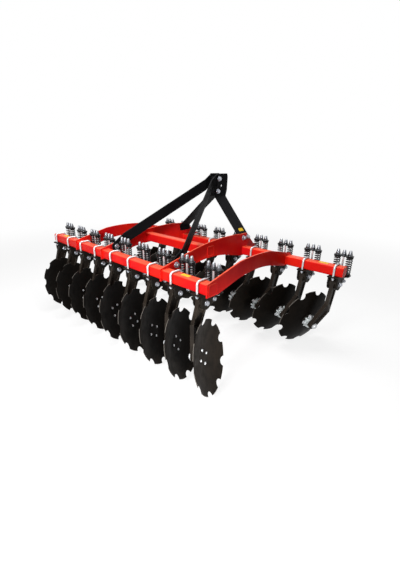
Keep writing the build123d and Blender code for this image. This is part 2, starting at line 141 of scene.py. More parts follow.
def addHex(mesh, place, acrossFlats, height):  # hexagon with its top corners turned off
    shape = fastenerShape
    chamferStart = acrossFlats * shape["chamferFrom"]
    slope = math.tan(math.radians(shape["chamferAngle"]))
    rings = [[], [], []]
    for i in range(6 * shape["perFlat"]):
        turn = 2 * math.pi * i / (6 * shape["perFlat"])
        fromFlat = (turn % (math.pi / 3)) - math.pi / 6
        radius = acrossFlats / 2 / math.cos(fromFlat)
        flat = Vector((math.cos(turn), math.sin(turn), 0))
        shoulder = height - max(0.0, radius - chamferStart) * slope - shape["crownRise"]
        crown = min(radius, chamferStart)
        rings[0].append(place @ (flat * radius))
        rings[1].append(place @ (flat * radius + Vector((0, 0, shoulder))))
        rings[2].append(place @ (flat * crown * shape["crown"] + Vector((0, 0, height))))
    addRings(mesh, rings)


def addThread(mesh, place, radius, length):  # its last ring is turned down by the thread's depth
    pitch, sides = fastenerShape["pitch"], fastenerShape["threadSides"]
    perPitch = fastenerShape["ringsPerPitch"]
    depth = pitch * fastenerShape["threadDepth"]
    steps = max(perPitch, round(length / pitch * perPitch))
    rings = []
    for k in range(steps + 1):
        height = length * k / steps
        ring = []
        for i in range(sides):
            wave = abs(((height / pitch - i / sides) % 1.0) * 2 - 1)
            reach = radius - depth * wave - (depth if k == steps else 0.0)
            turn = 2 * math.pi * i / sides
            ring.append(place @ Vector((reach * math.cos(turn), reach * math.sin(turn), height)))
        rings.append(ring)
    addRings(mesh, rings)


def addWasher(mesh, place, radius, thickness):
    bevel = thickness * fastenerShape["washerBevel"]
    flat = radius * fastenerShape["washerFlat"]
    profile = [(radius, 0), (radius, thickness - bevel), (radius - bevel, thickness), (flat, thickness)]
    addTurned(mesh, place, profile, fastenerShape["washerSides"])


def addBolt(mesh, origin, axis, acrossFlats, head, washer=0.0, thickness=None, turn=0.0):
    place = placeAt(origin, axis, turn)
    if washer:
        thickness = thickness or fastenerShape["washerThickness"]
        addWasher(mesh, place, washer, thickness)
        place = place @ Matrix.Translation((0, 0, thickness))
    addHex(mesh, place, acrossFlats, head)
    return place @ Matrix.Translation((0, 0, head))


def addNut(mesh, origin, axis, acrossFlats, height, threadRadius, tail, washer=0.0, turn=0.0):
    place = addBolt(mesh, origin, axis, acrossFlats, height, washer, turn=turn)
    addThread(mesh, place, threadRadius, tail)


def addTube(mesh, points, normals, radius, sides, loop=False):  # radius may change along the points
    rings = []
    count = len(points)
    for k in range(count):
        ahead = points[(k + 1) % count] if loop or k + 1 < count else points[k]
        behind = points[k - 1] if loop or k else points[k]
        along = (ahead - behind).normalized()
        outward = (normals[k] - along * normals[k].dot(along)).normalized()
        side = along.cross(outward)
        reach = radius[k] if isinstance(radius, list) else radius
        ring = []
        for i in range(sides):
            turn = 2 * math.pi * i / sides
            ring.append(points[k] + (outward * math.cos(turn) + side * math.sin(turn)) * reach)
        rings.append(ring)
    addRings(mesh, rings, joinEnds=loop)


def makePiece(name, build, finish, body, smoothBelow=38):  # smooth at edges below that many degrees
    mesh = bmesh.new()
    build(mesh)
    bmesh.ops.recalc_face_normals(mesh, faces=mesh.faces)
    data = bpy.data.meshes.new(name)
    mesh.to_mesh(data)
    mesh.free()
    data.shade_smooth()
    data.set_sharp_from_angle(angle=math.radians(smoothBelow))
    data.materials.append(finish)
    piece = bpy.data.objects.new(name, data)
    bpy.context.scene.collection.objects.link(piece)
    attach(piece, body)
    return piece


# shader groups: each puts out masks, values, colours or normals only
def newGroup(name, inputs, outputs):
    group = bpy.data.node_groups.new(name, "ShaderNodeTree")
    for kind, sockets in (("INPUT", inputs), ("OUTPUT", outputs)):
        for socketName, socketType, value in sockets:
            socket = group.interface.new_socket(name=socketName, in_out=kind, socket_type=socketType)
            if value is not None:
                socket.default_value = value
    return group, group.nodes.new("NodeGroupInput"), group.nodes.new("NodeGroupOutput")


def link(tree, source, target):
    tree.links.new(source, target)


def addNode(tree, kind, **settings):
    node = tree.nodes.new(kind)
    for key, value in settings.items():
        setattr(node, key, value)
    return node


def addMath(tree, operation, first, second=None):
    node = addNode(tree, "ShaderNodeMath", operation=operation)
    for socket, value in zip(node.inputs, (first, second)):
        if value is None:
            continue
        if isinstance(value, (int, float)):
            socket.default_value = value
        else:
            link(tree, value, socket)
    return node.outputs[0]


def addVectorMath(tree, operation, first, second=None, scale=None):
    node = addNode(tree, "ShaderNodeVectorMath", operation=operation)
    for socket, value in zip(node.inputs, (first, second)):
        if value is not None:
            link(tree, value, socket)
    if scale is not None:
        link(tree, scale, node.inputs["Scale"])
    return node.outputs["Value"] if operation in ("DOT_PRODUCT", "LENGTH") else node.outputs["Vector"]


def addRange(tree, value, low, high, outLow=0.0, outHigh=1.0, soft=True):
    node = addNode(tree, "ShaderNodeMapRange", interpolation_type="SMOOTHSTEP" if soft else "LINEAR")
    link(tree, value, node.inputs["Value"])
    for name, given in (("From Min", low), ("From Max", high), ("To Min", outLow), ("To Max", outHigh)):
        if isinstance(given, (int, float)):
            node.inputs[name].default_value = given
        else:
            link(tree, given, node.inputs[name])
    return node.outputs["Result"]


def addNoise(tree, vector, scale, detail=3.0, roughness=0.55):
    node = addNode(tree, "ShaderNodeTexNoise")
    link(tree, vector, node.inputs["Vector"])
    if isinstance(scale, (int, float)):
        node.inputs["Scale"].default_value = scale
    else:
        link(tree, scale, node.inputs["Scale"])
    node.inputs["Detail"].default_value = detail
    node.inputs["Roughness"].default_value = roughness
    return node.outputs["Fac"]


def addMix(tree, factor, first, second):
    node = addNode(tree, "ShaderNodeMix", data_type="RGBA")
    sockets = [node.inputs[0], node.inputs[6], node.inputs[7]]
    for socket, value in zip(sockets, (factor, first, second)):
        if isinstance(value, (int, float, tuple)):
            socket.default_value = value
        else:
            link(tree, value, socket)
    return node.outputs[2]


def splitAxes(tree, vector):
    split = addNode(tree, "ShaderNodeSeparateXYZ")
    link(tree, vector, split.inputs[0])
    return split.outputs


edgeMask = {
    "samples": 6,
    "flat": 0.99, "sharp": 0.78,            # how far the rounded normal still faces the plain one
    "breakLow": 0.32, "breakHigh": 0.62,
    "breakDetail": 3.0,
}


def roundedEdgeGroup():  # soft edge normal, and a mask that is 1 on outer edges
    sockets = [("Radius", "NodeSocketFloat", 0.002), ("Breakup", "NodeSocketFloat", 120.0)]
    results = [("Edge", "NodeSocketFloat", None), ("Normal", "NodeSocketVector", None)]
    group, given, result = newGroup("roundedEdge", sockets, results)
    bevel = addNode(group, "ShaderNodeBevel", samples=edgeMask["samples"])
    link(group, given.outputs["Radius"], bevel.inputs["Radius"])
    geometry = addNode(group, "ShaderNodeNewGeometry")
    facing = addVectorMath(group, "DOT_PRODUCT", bevel.outputs["Normal"], geometry.outputs["Normal"])
    place = addNode(group, "ShaderNodeTexCoord").outputs["Object"]
    uneven = addNoise(group, place, given.outputs["Breakup"], edgeMask["breakDetail"])
    bent = addRange(group, facing, edgeMask["flat"], edgeMask["sharp"])
    broken = addRange(group, uneven, edgeMask["breakLow"], edgeMask["breakHigh"])
    link(group, addMath(group, "MULTIPLY", bent, broken), result.inputs["Edge"])
    link(group, bevel.outputs["Normal"], result.inputs["Normal"])
    return group


coatMask = {
    "peelNoise": (2.0, 0.5),                # detail and roughness, here and below
    "driftNoise": (4.0, 0.6),
    "driftLow": 0.3, "driftHigh": 0.7,
    "upLow": 0.3, "upHigh": 0.95,           # height of a face's normal, from side to level
    "dustScale": 9.0,
    "dustNoise": (5.0, 0.65),
    "dustLow": 0.42, "dustHigh": 0.72,
}


def coatGroup():  # sprayed coat: fine peel, slow drift of tone, faces that look up, dust settled on them
    sockets = [("Peel Scale", "NodeSocketFloat", 260.0), ("Drift Scale", "NodeSocketFloat", 3.0)]
    results = [(name, "NodeSocketFloat", None) for name in ("Peel", "Drift", "Upward", "Dust")]
    group, given, result = newGroup("sprayedCoat", sockets, results)
    place = addNode(group, "ShaderNodeTexCoord").outputs["Object"]
    peel = addNoise(group, place, given.outputs["Peel Scale"], *coatMask["peelNoise"])
    link(group, peel, result.inputs["Peel"])
    drift = addNoise(group, place, given.outputs["Drift Scale"], *coatMask["driftNoise"])
    link(group, addRange(group, drift, coatMask["driftLow"], coatMask["driftHigh"]), result.inputs["Drift"])
    facing = addNode(group, "ShaderNodeNewGeometry").outputs["Normal"]
    upward = addRange(group, splitAxes(group, facing)["Z"], coatMask["upLow"], coatMask["upHigh"])
    link(group, upward, result.inputs["Upward"])
    settled = addNoise(group, place, coatMask["dustScale"], *coatMask["dustNoise"])
    settled = addRange(group, settled, coatMask["dustLow"], coatMask["dustHigh"])
    link(group, addMath(group, "MULTIPLY", upward, settled), result.inputs["Dust"])
    return group


turnedMask = {
    "ringsPerMetre": 420.0,
    "ringDetail": 4.0,
    "streakScale": 14.0,
    "streakNoise": (6.0, 0.62),             # detail and roughness
    "streakLow": 0.35, "streakHigh": 0.7,
}


def turnedMarksGroup():  # about a disc's own axis: its ground rim, fine turned marks, and streaks
    sockets = [("Centre", "NodeSocketVector", None), ("Axis", "NodeSocketVector", None)]
    sockets += [("Rim", "NodeSocketFloat", 0.255), ("Ground Width", "NodeSocketFloat", 0.006)]
    results = [(name, "NodeSocketFloat", None) for name in ("Ground", "Marks", "Streaks")]
    group, given, result = newGroup("turnedMarks", sockets, results)
    place = addNode(group, "ShaderNodeTexCoord").outputs["Object"]
    offset = addVectorMath(group, "SUBTRACT", place, given.outputs["Centre"])
    along = addVectorMath(group, "DOT_PRODUCT", offset, given.outputs["Axis"])
    axial = addVectorMath(group, "SCALE", given.outputs["Axis"], scale=along)
    radial = addVectorMath(group, "SUBTRACT", offset, axial)
    distance = addVectorMath(group, "LENGTH", radial)
    inside = addMath(group, "SUBTRACT", given.outputs["Rim"], given.outputs["Ground Width"])
    link(group, addRange(group, distance, inside, given.outputs["Rim"]), result.inputs["Ground"])
    rings = addNode(group, "ShaderNodeTexNoise", noise_dimensions="1D")
    link(group, addMath(group, "MULTIPLY", distance, turnedMask["ringsPerMetre"]), rings.inputs["W"])
    rings.inputs["Scale"].default_value = 1.0
    rings.inputs["Detail"].default_value = turnedMask["ringDetail"]
    link(group, rings.outputs["Fac"], result.inputs["Marks"])
    streaks = addNoise(group, place, turnedMask["streakScale"], *turnedMask["streakNoise"])
    streaks = addRange(group, streaks, turnedMask["streakLow"], turnedMask["streakHigh"])
    link(group, streaks, result.inputs["Streaks"])
    return group


roundedEdge = roundedEdgeGroup()
sprayedCoat = coatGroup()
turnedMarks = turnedMarksGroup()


def useGroup(tree, group, **values):
    node = addNode(tree, "ShaderNodeGroup", node_tree=group)
    for name, value in values.items():
        node.inputs[name.replace("_", " ")].default_value = value
    return node


def startMaterial(name, roughness, specular=0.5, metallic=0.0):
    material = bpy.data.materials.new(name)
    material.use_nodes = True
    tree = material.node_tree
    shader = tree.nodes["Principled BSDF"]
    shader.inputs["Roughness"].default_value = roughness
    shader.inputs["Specular IOR Level"].default_value = specular
    shader.inputs["Metallic"].default_value = metallic
    return material, tree, shader


def addBump(tree, shader, height, strength, distance, normal):
    bump = addNode(tree, "ShaderNodeBump")
    bump.inputs["Strength"].default_value = strength
    bump.inputs["Distance"].default_value = distance
    link(tree, height, bump.inputs["Height"])
    link(tree, normal, bump.inputs["Normal"])
    link(tree, bump.outputs["Normal"], shader.inputs["Normal"])


def coatedMaterial(name, look, extraColour=None):  # paint over steel: red frame, black mast, brackets, arms
    material, tree, shader = startMaterial(name, look["roughness"], look["specular"])
    shader.inputs["Coat Weight"].default_value = look["clearCoat"]
    shader.inputs["Coat Roughness"].default_value = look["clearCoatRoughness"]
    coat = useGroup(tree, sprayedCoat, Peel_Scale=look["peelScale"], Drift_Scale=look["driftScale"])
    edge = useGroup(tree, roundedEdge, Radius=look["edgeRadius"], Breakup=look["edgeBreakup"])
    tone = addMix(tree, coat.outputs["Drift"], look["colour"], look["deepColour"])
    # painted sheen: faces that look up turn a lighter orange, standing in for the light they catch
    paintedSheenMask = addMath(tree, "MULTIPLY", coat.outputs["Upward"], look["paintedSheen"])
    tone = addMix(tree, paintedSheenMask, tone, look["paintedSheenColour"])
    # painted highlight along with wear: rounded outer edges turn towards the lighter edge colour, partly
    # thinner paint and partly standing in for the light the edges catch
    wornAndHighlit = addMath(tree, "MULTIPLY", edge.outputs["Edge"], look["edgeWearAndHighlight"])
    tone = addMix(tree, wornAndHighlit, tone, look["edgeColour"])
    dusted = addMath(tree, "MULTIPLY", coat.outputs["Dust"], look["dust"])
    tone = addMix(tree, dusted, tone, look["dustColour"])
    if extraColour:
        tone = extraColour(tree, shader, tone)
    link(tree, tone, shader.inputs["Base Color"])
    roughest = look["roughness"] + look["roughnessSpread"]
    rough = addRange(tree, coat.outputs["Drift"], 0.0, 1.0, look["roughness"], roughest)
    rough = addMath(tree, "ADD", rough, addMath(tree, "MULTIPLY", dusted, look["dustRoughness"]))
    link(tree, rough, shader.inputs["Roughness"])
    addBump(tree, shader, coat.outputs["Peel"], look["peel"], look["peelDepth"], edge.outputs["Normal"])
    return material


def platedMaterial(name, look, extraColour=None):  # zinc plate: mottled crystals, darker in the hollows
    material, tree, shader = startMaterial(name, look["roughness"], 0.5, look["metallic"])
    place = addNode(tree, "ShaderNodeTexCoord").outputs["Object"]
    edge = useGroup(tree, roundedEdge, Radius=look["edgeRadius"], Breakup=look["edgeBreakup"])
    cells = addNode(tree, "ShaderNodeTexVoronoi", feature="F1")
    link(tree, place, cells.inputs["Vector"])
    cells.inputs["Scale"].default_value = look["crystalScale"]
    grain = addRange(tree, cells.outputs["Distance"], 0.0, look["crystalReach"])
    cloud = addNoise(tree, place, look["cloudScale"], look["cloudDetail"])
    cloud = addRange(tree, cloud, look["cloudLow"], look["cloudHigh"])
    tone = addMix(tree, cloud, look["colour"], look["dullColour"])
    tone = addMix(tree, addMath(tree, "MULTIPLY", grain, look["shade"]), tone, look["shadeColour"])
    # painted highlight along with wear: rounded outer edges turn towards the lighter edge colour
    wornAndHighlit = addMath(tree, "MULTIPLY", edge.outputs["Edge"], look["edgeWearAndHighlight"])
    tone = addMix(tree, wornAndHighlit, tone, look["edgeColour"])
    if extraColour:
        tone = extraColour(tree, shader, tone)
    link(tree, tone, shader.inputs["Base Color"])
    roughest = look["roughness"] + look["roughnessSpread"]
    link(tree, addRange(tree, cloud, 0.0, 1.0, look["roughness"], roughest), shader.inputs["Roughness"])
    addBump(tree, shader, cells.outputs["Distance"], look["bump"], look["bumpDepth"], edge.outputs["Normal"])
    return material


redLook = {
    "colour": (0.90, 0.018, 0.007, 1),
    "deepColour": (0.74, 0.005, 0.010, 1),
    "edgeColour": (0.98, 0.28, 0.18, 1),
    "paintedSheenColour": (0.95, 0.13, 0.06, 1),
    "dustColour": (0.80, 0.40, 0.30, 1),
    "paintedSheen": 0.8,             # painted sheen, on faces that look up
    # edges lightened partly as wear and partly as a painted highlight
    "edgeWearAndHighlight": 0.6,
    "dust": 0.06,
    "dustRoughness": 0.3,
    "roughness": 0.34,
    "roughnessSpread": 0.08,
    "specular": 0.08,
    "clearCoat": 0.05,
    "clearCoatRoughness": 0.15,
    "peelScale": 320.0,
    "driftScale": 2.4,
    "peel": 0.10,
    "peelDepth": 0.0006,
    "edgeRadius": 0.0022,
    "edgeBreakup": 60.0,
}
blackLook = {
    **redLook,
    "colour": (0.006, 0.006, 0.007, 1),
    "deepColour": (0.010, 0.010, 0.011, 1),
    "edgeColour": (0.16, 0.16, 0.17, 1),
    "dustColour": (0.22, 0.21, 0.20, 1),
    "paintedSheen": 0.0,
    "dust": 0.02,
    "roughness": 0.36,
    "specular": 0.02,
    "clearCoat": 0.0,
    "peel": 0.14,
}
bracketLook = {
    **blackLook,
    "colour": (0.013, 0.011, 0.009, 1),
    "deepColour": (0.020, 0.017, 0.014, 1),
    "edgeColour": (0.12, 0.11, 0.10, 1),
    "roughness": 0.40,
    "specular": 0.04,
}
armLook = {
    **blackLook,
    "colour": (0.032, 0.024, 0.018, 1),
    "deepColour": (0.018, 0.014, 0.011, 1),
    "edgeColour": (0.26, 0.22, 0.18, 1),
    "roughness": 0.38,
    "roughnessSpread": 0.14,
    "specular": 0.06,
    "peelScale": 150.0,
    "driftScale": 9.0,
    "peel": 0.35,
    "edgeRadius": 0.0035,
    "edgeBreakup": 45.0,
}
springLook = {
    **blackLook,
    "colour": (0.008, 0.008, 0.009, 1),
    "roughness": 0.18,
    "specular": 0.10,
    "dust": 0.0,
    "edgeWearAndHighlight": 0.0,
    "clearCoat": 0.12,
    "clearCoatRoughness": 0.05,
}
zincLook = {
    "colour": (0.84, 0.85, 0.87, 1),
    "dullColour": (0.74, 0.76, 0.78, 1),
    "shadeColour": (0.50, 0.51, 0.53, 1),
    "edgeColour": (0.95, 0.96, 0.97, 1),
    "metallic": 0.45,
    "roughness": 0.26,
    "roughnessSpread": 0.16,
    "crystalScale": 900.0,
    "crystalReach": 0.8,
    "cloudScale": 22.0,
    "cloudDetail": 4.0,
    "cloudLow": 0.3, "cloudHigh": 0.7,
    "shade": 0.25,
    "edgeWearAndHighlight": 0.6,
    "edgeRadius": 0.0009,
    "edgeBreakup": 90.0,
    "bump": 0.12,
    "bumpDepth": 0.0004,
}
hubLook = {
    **zincLook,
    "colour": (0.92, 0.97, 0.97, 1),
    "dullColour": (0.70, 0.76, 0.76, 1),
    "metallic": 0.65,
    "roughness": 0.2,
    "cloudScale": 40.0,
}
boltLook = {
    **zincLook,
    "colour": (0.60, 0.62, 0.67, 1),
    "dullColour": (0.44, 0.46, 0.51, 1),
    "shadeColour": (0.25, 0.26, 0.29, 1),
    "metallic": 0.8,
    "roughness": 0.22,
}
darkChromeLook = {
    **zincLook,
    "colour": (0.15, 0.155, 0.165, 1),
    "dullColour": (0.10, 0.105, 0.11, 1),
    "shadeColour": (0.05, 0.05, 0.055, 1),
    "edgeColour": (0.5, 0.5, 0.52, 1),
    "metallic": 0.95,
    "roughness": 0.22,
}
stickerLook = {
    **redLook,
    "colour": (0.92, 0.62, 0.04, 1),
    "deepColour": (0.86, 0.56, 0.03, 1),
    "paintedSheen": 0.0,
    "edgeColour": (0.95, 0.80, 0.40, 1),
    "roughness": 0.42,
    "clearCoat": 0.0,
    "edgeRadius": 0.0006,
}
pinLook = {
    "reach": 0.0004,            # beyond the plate's face, where the bare pin begins
    "colour": (0.50, 0.50, 0.51, 1),
}
domeLook = {
    "colour": (0.17, 0.175, 0.19, 1),
    # painted highlight towards the domes' tips
    "tipHighlightColour": (0.42, 0.43, 0.45, 1),
    "tipHighlightDepth": 0.022,
    "metallic": 0.95,
}


def steelPins(tree, shader, tone):  # the hitch pins stand out bare beyond the inner plates' outer faces
    place = addNode(tree, "ShaderNodeTexCoord").outputs["Object"]
    across = addMath(tree, "ABSOLUTE", splitAxes(tree, place)["X"])
    outside = addMath(tree, "GREATER_THAN", across, innerPlateFace + pinLook["reach"])
    return addMix(tree, outside, tone, pinLook["colour"])


def greyDomes(tree, shader, tone):  # domed nuts over the springs: greyer than the rods, with a painted highlight that lightens them towards the tips
    height = splitAxes(tree, addNode(tree, "ShaderNodeTexCoord").outputs["Object"])["Z"]
    plateTop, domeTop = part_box("rear_spring_plates")[1].z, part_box("rear_spring_rods")[1].z
    above = addMath(tree, "GREATER_THAN", height, plateTop)
    # painted highlight: the top of each dome turns lighter, standing in for the light falling on it from
    # above
    tipHighlight = addRange(tree, height, domeTop - domeLook["tipHighlightDepth"], domeTop)
    dome = addMix(tree, tipHighlight, domeLook["colour"], domeLook["tipHighlightColour"])
    metal = addRange(tree, above, 0.0, 1.0, zincLook["metallic"], domeLook["metallic"])
    link(tree, metal, shader.inputs["Metallic"])
    return addMix(tree, above, tone, dome)


redPaint = coatedMaterial("redPaint", redLook)
redPlatePaint = coatedMaterial("redPlatePaint", redLook, steelPins)
blackPaint = coatedMaterial("blackPaint", blackLook)
bracketPaint = coatedMaterial("bracketPaint", bracketLook)
armPaint = coatedMaterial("armPaint", armLook)
springLacquer = coatedMaterial("springLacquer", springLook)
stickerFilm = coatedMaterial("stickerFilm", stickerLook)
brightZinc = platedMaterial("brightZinc", zincLook)
domedZinc = platedMaterial("domedZinc", zincLook, greyDomes)
hubZinc = platedMaterial("hubZinc", hubLook)
boltZinc = platedMaterial("boltZinc", boltLook)
darkChrome = platedMaterial("darkChrome", darkChromeLook)

discLook = {
    "colour": (0.012, 0.0095, 0.0075, 1),
    "deepColour": (0.007, 0.006, 0.005, 1),
    "markColour": (0.024, 0.019, 0.015, 1),
    "groundColour": (0.20, 0.18, 0.16, 1),
    "roughness": 0.34,
    "smoother": 0.05, "rougher": 0.1,       # how far the streaks take the roughness down and up
    "specular": 0.02,
    "marks": 0.25,
    "markLow": 0.45, "markHigh": 0.75,
    "edgeRadius": 0.0015,
    "edgeBreakup": 70.0,
    "edgeWearAndHighlight": 0.5,
    "ground": 0.7,
    "groundWidth": 0.004,
    "bump": 0.12,
    "bumpDepth": 0.0003,
}


def fromAxis(point, centre, axis):  # distance from a disc's axis
    offset = point - centre
    return (offset - axis * offset.dot(axis)).length


def alongAxis(point, centre, axis):
    return (point - centre).dot(axis)


sampleCentre, sampleAxis = rearRow["discs"][0][1:]
sampleBlade = [vertex.co for vertex in frame["nodes"]["rear_blade_1"].data.vertices]
sampleHub = [vertex.co for vertex in frame["nodes"]["rear_hub_1"].data.vertices]
discRim = max(fromAxis(point, sampleCentre, sampleAxis) for point in sampleBlade)
hubFace = max(alongAxis(point, sampleCentre, sampleAxis) for point in sampleHub)
hubEnd = min(alongAxis(point, sampleCentre, sampleAxis) for point in sampleHub)


def discMaterial(name, centre, axis):  # lacquered blade with turned marks about its own axis
    look = discLook
    material, tree, shader = startMaterial(name, look["roughness"], look["specular"])
    ground = look["groundWidth"]
    marks = useGroup(tree, turnedMarks, Centre=centre, Axis=axis, Rim=discRim, Ground_Width=ground)
    tone = addMix(tree, marks.outputs["Streaks"], look["colour"], look["deepColour"])
    lines = addRange(tree, marks.outputs["Marks"], look["markLow"], look["markHigh"])
    tone = addMix(tree, addMath(tree, "MULTIPLY", lines, look["marks"]), tone, look["markColour"])
    edge = useGroup(tree, roundedEdge, Radius=look["edgeRadius"], Breakup=look["edgeBreakup"])
    # painted highlight along with wear: rounded outer edges turn towards the ground colour, as the real
    # ground rim does
    edgeWearAndHighlight = addMath(tree, "MULTIPLY", edge.outputs["Edge"], look["edgeWearAndHighlight"])
    wornAndHighlit = addMath(tree, "MAXIMUM", edgeWearAndHighlight, marks.outputs["Ground"])
    tone = addMix(tree, addMath(tree, "MULTIPLY", wornAndHighlit, look["ground"]), tone, look["groundColour"])
    link(tree, tone, shader.inputs["Base Color"])
    low, high = look["roughness"] - look["smoother"], look["roughness"] + look["rougher"]
    link(tree, addRange(tree, marks.outputs["Streaks"], 0.0, 1.0, low, high), shader.inputs["Roughness"])
    addBump(tree, shader, marks.outputs["Marks"], look["bump"], look["bumpDepth"], edge.outputs["Normal"])
    return material


def finishNodes(finish, *names):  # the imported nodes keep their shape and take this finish
    for name in names:
        for materialSlot in frame["nodes"][name].material_slots:
            materialSlot.material = finish


finishNodes(redPaint, "front_beam", "rear_beam", "middle_beam", "left_outer_plate", "right_outer_plate")
finishNodes(redPlatePaint, "left_inner_plate", "right_inner_plate")
finishNodes(blackPaint, "mast_left_plate", "mast_right_plate", "mast_ties")
finishNodes(blackPaint, "mast_left_brace", "mast_right_brace")
for row in rows:
    name = row["name"]
    finishNodes(armPaint, name + "_arms")
    finishNodes(bracketPaint, name + "_brackets")
    finishNodes(springLacquer, name + "_spring_plates")
    finishNodes(brightZinc, name + "_u_bolts")
    finishNodes(domedZinc, name + "_spring_rods")
    for i, (body, centre, axis) in enumerate(row["discs"], 1):
        finishNodes(discMaterial(f"{name}BladeFinish{i}", centre, axis), f"{name}_blade_{i}")
        finishNodes(hubZinc, f"{name}_hub_{i}")
print("finishes on the packed nodes")

# coil springs: two to a unit, between the bracket's seat and the top plate
springSizes = {
    "turns": 9.0,
    "closedTurns": 1.0,        # wound tight at each end
    "stepsPerTurn": 26,
    "wire": 0.165,              # radius of the wire, of the spring's
    "wireSides": 9,
    "cupRadius": 0.0285,
    "cupBore": 0.010,
    "cupDepth": 0.007,
    "cupWall": 0.0022,
    "cupFloor": 0.0015,
    "cupSides": 28,
    "smoothBelow": 60,
}
springLow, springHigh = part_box("rear_springs")
springRadius = boxSize("rear_springs").y / 2
springOut = halfUnit("springs") - springRadius
springAhead = boxMiddle("rear_springs").y - rearRow["beam"].y
wireRadius = springRadius * springSizes["wire"]


def eachUnit(row, addOne):  # a build that repeats addOne at every unit of a row
    def build(mesh):
        for place in row["places"]:
            addOne(mesh, place)
    return build


def addSpring(mesh, foot, height):
    turns, closed = springSizes["turns"], springSizes["closedTurns"]
    closedPitch = 2 * wireRadius
    openPitch = (height - closedPitch * (1 + 2 * closed)) / (turns - 2 * closed)
    points, outward = [], []
    for k in range(round(turns * springSizes["stepsPerTurn"]) + 1):
        wound = k / springSizes["stepsPerTurn"]
        rise = min(wound, closed) * closedPitch
        rise += max(0.0, min(wound, turns - closed) - closed) * openPitch
        rise += max(0.0, wound - turns + closed) * closedPitch
        angle = 2 * math.pi * wound
        away = Vector((math.cos(angle), math.sin(angle), 0))
        points.append(foot + away * (springRadius - wireRadius) + Vector((0, 0, wireRadius + rise)))
        outward.append(away)
    addTube(mesh, points, outward, wireRadius, springSizes["wireSides"])


def addSpringCup(mesh, centre, down):  # shallow cup that keeps the coil's end turn in place
    bore, outer = springSizes["cupBore"], springSizes["cupRadius"]
    inner, depth, floor = outer - springSizes["cupWall"], springSizes["cupDepth"], springSizes["cupFloor"]
    profile = [(bore, 0), (outer, 0), (outer, depth), (inner, depth), (inner, floor), (bore, floor)]
    addTurned(mesh, placeAt(centre, (0, 0, down)), profile, springSizes["cupSides"], closed=True)


def addUnitSprings(mesh, place):
    for side in (-1, 1):
        foot = Vector((place.x + side * springOut, place.y + springAhead, springLow.z))
        addSpring(mesh, foot, springHigh.z - springLow.z)


def addUnitCups(mesh, place):
    for side in (-1, 1):
        x, y = place.x + side * springOut, place.y + springAhead
        addSpringCup(mesh, Vector((x, y, springHigh.z)), -1)
        addSpringCup(mesh, Vector((x, y, springLow.z)), 1)


for row in rows:
    name, smooth = row["name"], springSizes["smoothBelow"]
    wind, press = eachUnit(row, addUnitSprings), eachUnit(row, addUnitCups)
    coils = makePiece(name + "_spring_coils", wind, springLacquer, "frame", smooth)
    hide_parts(row["name"] + "_springs")
    makePiece(name + "_spring_cups", press, springLacquer, "frame")
print("springs wound")

# nuts, bolts and washers of each unit
unitBolts = {
    "cheekHalf": 0.041,         # unit's middle to the outer face of a bracket's cheek
    "saddle": 0.010,            # plate between beam and U-bolt nuts
    "pivotDrop": 0.110,         # below the beam's middle
    "pivotHead": 0.030,         # across flats
    "pivotHeadHeight": 0.012,
    "pivotNutHeight": 0.014,
    "pivotThread": 0.0098,
    "pivotTail": 0.006,
    "pivotWasher": 0.0185,
    "stopAhead": 0.080,         # stop bolt through the cheeks, ahead of and below the beam's middle
    "stopDrop": 0.101,
    "stopHead": 0.024,
    "stopHeadHeight": 0.010,
    "stopNutHeight": 0.012,
    "stopThread": 0.0078,
    "stopTail": 0.005,
    "stopWasher": 0.015,
    "uNut": 0.024,
    "uNutHeight": 0.013,
    "uWasher": 0.0155,
    "uTurn": 0.3,
    "domeHex": 0.0325,
    "domeHexHeight": 0.013,
    "domeWasher": 0.0205,
    "domeWasherThickness": 0.0025,
    "domeTurn": 9,              # radians for each metre that a nut stands beside the unit's middle
}
uLeg = boxSize("rear_u_bolts").y / 2 - halfUnit("u_bolts")  # beam's middle to the middle of a U-bolt's leg
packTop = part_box("rear_spring_plates")[1].z


def addUnitBolts(mesh, place, hand):
    sizes = unitBolts
    spots = {
        "pivot": place - Vector((0, 0, sizes["pivotDrop"])),
        "stop": place + Vector((0, sizes["stopAhead"], -sizes["stopDrop"])),
    }
    for side in (-1, 1):
        face = Vector((side * sizes["cheekHalf"], 0, 0))
        along = (side, 0, 0)
        for name, spot in spots.items():
            flats, washer = sizes[name + "Head"], sizes[name + "Washer"]
            if side == hand:
                addBolt(mesh, spot + face, along, flats, sizes[name + "HeadHeight"], washer)
            else:
                thread, tail = sizes[name + "Thread"], sizes[name + "Tail"]
                addNut(mesh, spot + face, along, flats, sizes[name + "NutHeight"], thread, tail, washer)
        leg = place + Vector((0, side * uLeg, -halfBeam - sizes["saddle"]))
        turn = sizes["uTurn"] * side
        addBolt(mesh, leg, (0, 0, -1), sizes["uNut"], sizes["uNutHeight"], sizes["uWasher"], turn=turn)


def addPackNuts(mesh, place):
    sizes = unitBolts
    for offset in (-springOut, 0, springOut):
        top = Vector((place.x + offset, place.y + springAhead, packTop))
        washer, thickness = sizes["domeWasher"], sizes["domeWasherThickness"]
        turn = offset * sizes["domeTurn"]
        addBolt(mesh, top, (0, 0, 1), sizes["domeHex"], sizes["domeHexHeight"], washer, thickness, turn)


for row in rows:
    def addOne(mesh, place):
        addUnitBolts(mesh, place, row["hand"])

    makePiece(row["name"] + "_unit_bolts", eachUnit(row, addOne), boltZinc, "frame")
    makePiece(row["name"] + "_pack_nuts", eachUnit(row, addPackNuts), darkChrome, "frame")
print("unit bolts in place")

